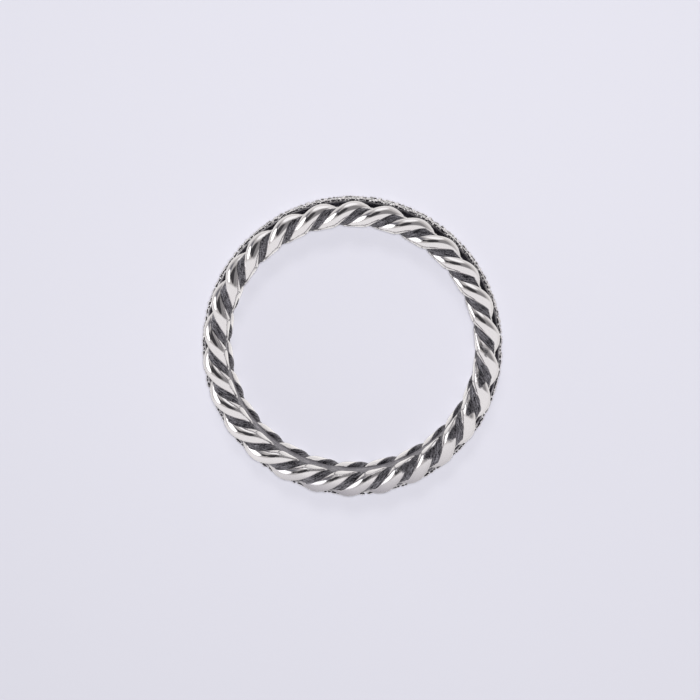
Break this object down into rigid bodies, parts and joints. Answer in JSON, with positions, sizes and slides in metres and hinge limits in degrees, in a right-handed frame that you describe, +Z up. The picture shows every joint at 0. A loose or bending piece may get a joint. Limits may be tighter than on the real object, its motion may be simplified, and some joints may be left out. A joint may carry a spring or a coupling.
{
  "type": "rope twist ring",
  "caption": "Silver finger ring with a rope twist along each edge and a full row of small clear stones set between them.",
  "frame": {"origin": "middle of the footprint, on the surface that the ring lies on, on the axis of the bore", "axes": "+Z up along the axis of the bore, +Y towards the top of the picture and +X towards its right"},
  "size_m": [0.021, 0.021, 0.0057],
  "materials": {
    "silver": "high polish on the raised strands and the bore, with the grooves between them oxidised to a dark grey",
    "clear_stone": "clear cut stones with polished facets"
  },
  "bodies": {
    "root": {"band": "silver", "pave_stones": "clear_stone"}
  },
  "joints": []
}
